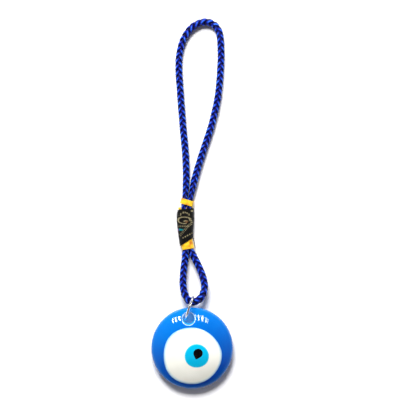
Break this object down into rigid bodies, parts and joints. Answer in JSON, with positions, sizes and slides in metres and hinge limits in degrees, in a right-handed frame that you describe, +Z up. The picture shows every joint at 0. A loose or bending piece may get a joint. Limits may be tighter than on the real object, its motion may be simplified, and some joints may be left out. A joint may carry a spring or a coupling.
{
  "type": "evil eye ornament",
  "caption": "Domed blue glass eye disc hung by a jump ring from a braided cord strap with a brocade-covered binding and a long hanging loop.",
  "frame": {"origin": "on the table that the ornament lies on, under the middle of its whole outline", "axes": "+Y from the glass eye towards the hanging loop, +Z up out of the eye's domed front, +X to the right seen from above"},
  "size_m": [0.033, 0.1495, 0.0106],
  "materials": {
    "blue_cord": "shiny braided polyester",
    "pale_thread": "matt thread",
    "gold_thread": "glossy wound thread",
    "brocade": "woven brocade",
    "black_thread": "matt thread",
    "grey_thread": "matt thread",
    "silver_wire": "bright plated",
    "blue_glass": "glossy opaque",
    "white_glass": "glossy opaque",
    "light_blue_glass": "glossy opaque",
    "black_glass": "glossy opaque"
  },
  "bodies": {
    "strap": {"cord": "blue_cord", "end_binding": "pale_thread", "whip_top": "gold_thread", "whip_collar": "gold_thread", "whip_bottom": "gold_thread", "brocade_sleeve": "brocade", "thread_tail": "black_thread", "stray_thread": "grey_thread"},
    "ring": {"jump_ring": "silver_wire"},
    "eye": {"glass_disc": "blue_glass", "eye_white": "white_glass", "eye_iris": "light_blue_glass", "eye_pupil": "black_glass"}
  },
  "joints": [
    {"name": "ring_swing", "type": "hinge", "parent": "strap", "child": "ring", "pos_m": [-0.0004, -0.0396, 0.0045], "axis": [-0.9461, 0.3239, 0], "range_deg": [0, 90]},
    {"name": "disc_turn", "type": "hinge", "parent": "ring", "child": "eye", "pos_m": [-0.0014, -0.04614, 0.00384], "axis": [0, -0.0523, 0.9986], "range_deg": [-45, 8]}
  ]
}
